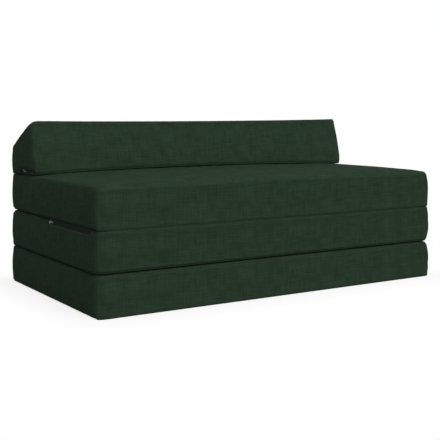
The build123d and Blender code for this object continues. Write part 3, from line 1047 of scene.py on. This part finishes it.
def coilTurn():  # one turn of the right-hand coil, open at both ends
    bm = bmesh.new()
    wire = bmesh.ops.create_circle(bm, segments=zipCoil["sides"], radius=1)["verts"]
    bmesh.ops.scale(bm, vec=(*zipCoil["wire"], 1), verts=wire)
    bmesh.ops.translate(bm, vec=(0, zipCoil["radius"], 0), verts=wire)
    bmesh.ops.spin(
        bm, geom=bm.verts[:] + bm.edges[:], cent=(0, 0, 0), axis=(1, 0, 0), angle=2 * math.pi,
        dvec=(zipCoil["pitch"] / zipCoil["steps"], 0, 0), steps=zipCoil["steps"],
    )
    bmesh.ops.scale(bm, vec=(1, 1, zipCoil["flat"]), verts=bm.verts)
    return toMesh(bm, "turn")


def makeCoil(name):
    turn = addObject("turn", coilTurn())
    row = turn.modifiers.new("row", "ARRAY")
    setAll(
        row, count=round((zips[name]["length"] - zipCoil["start"]) / zipCoil["pitch"]),
        use_relative_offset=False, use_constant_offset=True,
        constant_offset_displace=(zipCoil["pitch"], 0, 0),
        use_merge_vertices=True, merge_threshold=zipCoil["weld"],
    )
    mesh = bpy.data.meshes.new_from_object(shownBy(turn))
    bm = bmesh.new()
    for side in (-1, 1):
        half = bmesh.new()
        half.from_mesh(mesh)
        bmesh.ops.holes_fill(half, edges=half.edges[:])
        bmesh.ops.scale(half, vec=(1, side, 1), verts=half.verts)
        start = zipCoil["start"] + (zipCoil["pitch"] / 2 if side > 0 else 0)
        place = (start, side * zipCoil["middle"], zipCoil["height"])
        bmesh.ops.translate(half, vec=place, verts=half.verts)
        addTo(bm, half)
    bpy.data.objects.remove(turn)
    finishPiece(name, "chain", bm, coilMaterial, bodyOf[name])


zipStops = {"top": (-8.5, -6.5), "inner": 0.6, "outer": 2.6, "height": 1.5, "soft": 0.35}


def makeStops(name):
    inner, outer, soft = zipStops["inner"], zipStops["outer"], zipStops["soft"]
    height = (0, zipStops["height"])
    end = zips[name]["length"]
    bm = bmesh.new()
    addPair(bm, zipStops["top"], (inner, outer), height, soft)
    addBlock(bm, (end, end + zipSize["stop"]), (-outer, outer), height, soft)
    finishPiece(name, "stops", bm, stopMaterial, bodyOf[name])


# A lug and a flange stand on each side; a neck joins the plates
zipSlider = {
    "half": 6, "width": 4.4, "corner": 1.8, "lowerPlate": (-2.1, -1.1), "upperPlate": (1.9, 2.9),
    "plateSoft": 0.25, "flange": (3.4, 4.4), "flangeFoot": 0.3, "flangeSoft": 0.2,
    "neck": (-5, -2), "neckHalf": 0.4, "lugRun": (2.2, 4.8), "lug": (1.7, 2.5), "lugTop": 5.08,
    "lugSoft": 0.3, "pin": 0.6, "pinHead": 0.85, "headHalf": 0.15,
    "narrower": 0.7, "narrowBelow": 3.3,  # the end that the closed chain leaves
}
pin = Vector((zipSize["pinAlong"], 0, zipSize["pinHeight"]))


def makeSlider(name):
    size = zipSlider
    half, width, lug = size["half"], size["width"], size["lug"]
    under, over = size["lowerPlate"], size["upperPlate"]
    run, neck = half - size["corner"], size["neckHalf"]
    bm = bmesh.new()
    for plate in (under, over):
        addBlock(bm, (-half, half), (-width, width), plate, size["plateSoft"], size["corner"])
    addPair(bm, (-run, run), size["flange"], (size["flangeFoot"], over[0]), size["flangeSoft"])
    addPair(bm, size["lugRun"], lug, (over[1], size["lugTop"]), size["lugSoft"])
    addBlock(bm, size["neck"], (-neck, neck), (under[1], over[0]))
    for vert in bm.verts:
        if vert.co.z < size["narrowBelow"]:
            vert.co.y *= 1 - (1 - size["narrower"]) * (1 + vert.co.x / half) / 2
    addRound(bm, pin, size["pin"], lug[1])
    for side in (-1, 1):
        addRound(bm, pin + Vector((0, side * lug[1], 0)), size["pinHead"], size["headHalf"])
    finishPiece(name, "slider", bm, nickelMaterial, name + "_slider")


zipPull = {
    "eye": 1.23, "bore": 0.68, "eyeHalf": 1.55, "eyeSides": 24, "neck": (4.4, 7.6),
    "neckHalf": 1.2, "neckSoft": 0.2, "tab": (6.1, 23.5), "half": 2.5, "thickness": 1,
    "corner": 1.5, "cornerSteps": 7, "hole": 1.2, "holeAt": 21.1, "plateSoft": 0.15,
}


def makePull(name):
    size = zipPull
    bm = bmesh.new()
    angles = np.linspace(0, 2 * math.pi, size["eyeSides"], endpoint=False)
    ring = [(math.cos(a) * size["eye"], math.sin(a) * size["eye"], 0) for a in angles]
    turn = Matrix.Translation(pin) @ Matrix.Rotation(math.pi / 2, 4, "X")
    addPierced(bm, ring, (0, 0, 0), size["bore"], 2 * size["eyeHalf"], turn)
    neck, thin = size["neckHalf"], size["thickness"] / 2
    addBlock(bm, size["neck"], (-neck, neck), (pin.z - thin, pin.z + thin), size["neckSoft"])
    low, high = size["tab"]
    corner, steps = size["corner"], size["cornerSteps"]
    beside = size["half"] - corner
    outline = []
    for quarter, (along, across) in enumerate((
        (high - corner, beside), (low + corner, beside), (low + corner, -beside),
        (high - corner, -beside),
    )):
        for step in range(steps + 1):
            angle = (quarter + step / steps) * math.pi / 2
            around = corner * Vector((math.cos(angle), math.sin(angle)))
            outline.append(Vector((along, across)) + around)
    rounded = []
    for n, spot in enumerate(outline):  # points on the straight sides keep the hole round
        previous = outline[n - 1]
        cuts = int((spot - previous).length) + 1
        rounded += [previous.lerp(spot, (k + 1) / cuts).to_3d() for k in range(cuts)]
    addPierced(
        bm, rounded, (size["holeAt"], 0, 0), size["hole"], size["thickness"],
        Matrix.Translation((0, 0, pin.z)),
    )
    finishPiece(name, "pull", bm, stopMaterial, name + "_pull")


stitches = {
    "pitch": 3.4, "half": 1.3, "radius": 0.3, "rows": (-7.6, 7.6), "proud": 0.12, "above": 25,
}


def makeStitches(name):
    mesh = cushions[name].data
    spots, faces = [v.co for v in mesh.vertices], [p.vertices for p in mesh.polygons]
    tree = BVHTree.FromPolygons(spots, faces)
    place = zipPlace(name)
    inverse = place.inverted()
    down = -(place.to_3x3() @ Vector((0, 0, 1)))
    size = Matrix.Diagonal((stitches["half"], stitches["radius"], stitches["radius"], 1))
    start, end = slotRun(name)
    bm = bmesh.new()
    for row in stitches["rows"]:
        at = start + stitches["pitch"]
        while at < end - stitches["pitch"]:
            above = place @ mm(Vector((at, row, stitches["above"])))
            hit, normal, _, _ = tree.ray_cast(above, down)
            at += stitches["pitch"]
            if hit is None:
                continue
            up = (inverse.to_3x3() @ normal).normalized()
            run = (Vector((1, 0, 0)) - up * up.x).normalized()
            lies = Matrix((run, up.cross(run), up)).transposed().to_4x4()
            lies.translation = inverse @ (hit + normal * mm(stitches["proud"])) / mm(1)
            bmesh.ops.create_icosphere(bm, subdivisions=1, radius=1, matrix=lies @ size)
    body = bodyOf[name]
    finishPiece(name, "zip_stitches", bm, threadMaterial, body, replaced=False)


for name in zips:
    makeTape(name)
    makeCoil(name)
    makeStops(name)
    makeSlider(name)
    makePull(name)
    makeStitches(name)
    print("zip", name)

# Floor, backdrop and light
studio = {
    "floorColour": "#e8e8e6", "floorReach": 30, "worldStrength": 0.5, "keyStrength": 2.6,
    "bounce": 0.35,  # what the floor gives back on the object
    "keyAngle": 50,  # degrees: a broad soft source
    "keyFrom": (0.07, -0.73, 0.67), "footprint": (0.595, 0.325, 10.0),
    "glow": (0.8, 1.0, 0.15),  # the floor's own white: beside the object, far off, and how far
}
white = (1, 1, 1, 1)


def seenShare(add):  # 1 where the camera or a reflection looks, 0 for the light on the object
    path = add("LightPath")
    return addMath(add, "MAXIMUM", path.outputs["Is Camera Ray"], path.outputs["Is Glossy Ray"])


def makeFloor():
    bm = bmesh.new()
    bmesh.ops.create_grid(bm, x_segments=1, y_segments=1, size=studio["floorReach"])
    mesh = toMesh(bm, "floor")
    floor = addObject("floor", mesh)
    material = bpy.data.materials.new("matt_white_studio_floor")
    add = startTree(material)
    paint = add("BsdfDiffuse", {"Color": (*linear(studio["floorColour"]), 1)})
    glowing = add("Emission", {"Color": white, "Strength": 1})
    place = add("TexCoord").outputs["Object"]
    folded = add("VectorMath", {0: place}, operation="ABSOLUTE").outputs[0]
    past = add("VectorMath", {0: folded, 1: studio["footprint"]}, operation="SUBTRACT")
    outside = add("VectorMath", {0: past.outputs[0], 1: (0, 0, 0)}, operation="MAXIMUM")
    away = add("VectorMath", {0: outside.outputs[0]}, operation="LENGTH")
    near, far, reach = studio["glow"]
    glow = add("MapRange", {
        0: away.outputs["Value"], 2: reach, 3: near, 4: far,
    }, interpolation_type="SMOOTHSTEP")
    shown = add("MixShader", {0: glow.outputs[0], 1: paint.outputs[0], 2: glowing.outputs[0]})
    grey = add("BsdfDiffuse", {"Color": (*[studio["bounce"]] * 3, 1)})
    both = add("MixShader", {0: seenShare(add), 1: grey.outputs[0], 2: shown.outputs[0]})
    add("OutputMaterial", {"Surface": both.outputs[0]})
    mesh.materials.append(material)


def makeWorld():
    world = bpy.data.worlds.new("studio")
    scene.world = world
    add = startTree(world)
    soft = add("Background", {"Color": white, "Strength": studio["worldStrength"]})
    plain = add("Background", {"Color": white, "Strength": 1})
    both = add("MixShader", {0: seenShare(add), 1: soft.outputs[0], 2: plain.outputs[0]})
    add("OutputWorld", {"Surface": both.outputs[0]})


def makeKey():
    lamp = bpy.data.lights.new("key", "SUN")
    lamp.energy = studio["keyStrength"]
    lamp.angle = math.radians(studio["keyAngle"])
    light = addObject("key", lamp)
    light.rotation_mode = "QUATERNION"
    light.rotation_quaternion = Vector(studio["keyFrom"]).to_track_quat("Z", "Y")


makeFloor()
makeWorld()
makeKey()

# Found from the corners in the photograph
camera = {
    "place": (-1.5273, -2.3876, 0.5276),
    "heading": 32.39,  # degrees from +Y towards +X
    "eye": {"lens": 71.0, "sensor_width": 36, "shift_y": -0.2346, "clip_end": 100},
}
eye = bpy.data.cameras.new("camera")
setAll(eye, **camera["eye"])
scene.camera = addObject("camera", eye)
scene.camera.location = camera["place"]
scene.camera.rotation_euler = (math.pi / 2, 0, -math.radians(camera["heading"]))
scene.view_settings.view_transform = "Standard"
